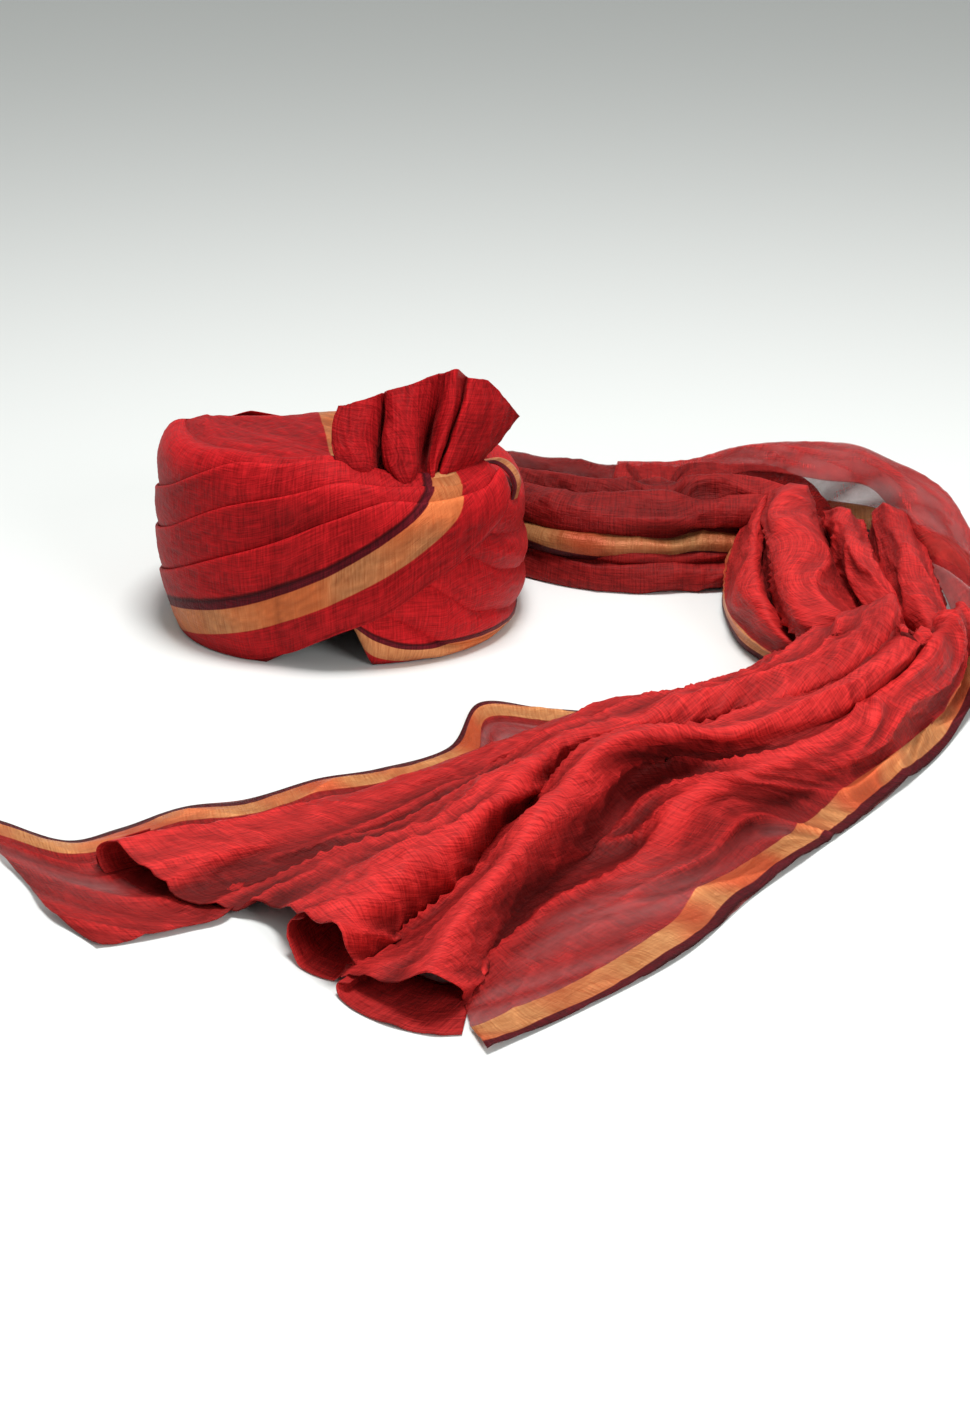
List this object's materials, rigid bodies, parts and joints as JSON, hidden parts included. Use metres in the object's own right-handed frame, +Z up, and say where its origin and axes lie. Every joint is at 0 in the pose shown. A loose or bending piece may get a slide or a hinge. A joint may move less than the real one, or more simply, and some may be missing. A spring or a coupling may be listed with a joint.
{
  "type": "tied turban pagri",
  "caption": "Ready-tied red turban with pleated crossing wraps, a gathered fan at the front and a long loose bordered tail lying on the floor.",
  "frame": {"origin": "On the surface that the turban and its tail rest on, under the middle of the whole part's box.", "axes": "+Z up out of the turban's top; -Y out of its forehead, towards which the tail's cut end lies; +X towards its right side as seen from the front, where the tail turns."},
  "size_m": [0.619, 0.803, 0.1857],
  "materials": {
    "wound_cloth": "matte",
    "wrap_cloth": "satin",
    "fan_cloth": "satin",
    "tail_cloth": "satin"
  },
  "bodies": {
    "root": {"crown": "wound_cloth", "left_wrap": "wrap_cloth", "right_wrap": "wrap_cloth", "top_wrap": "wrap_cloth", "back_loop": "wrap_cloth", "fan": "fan_cloth", "tail": "tail_cloth"}
  },
  "joints": []
}
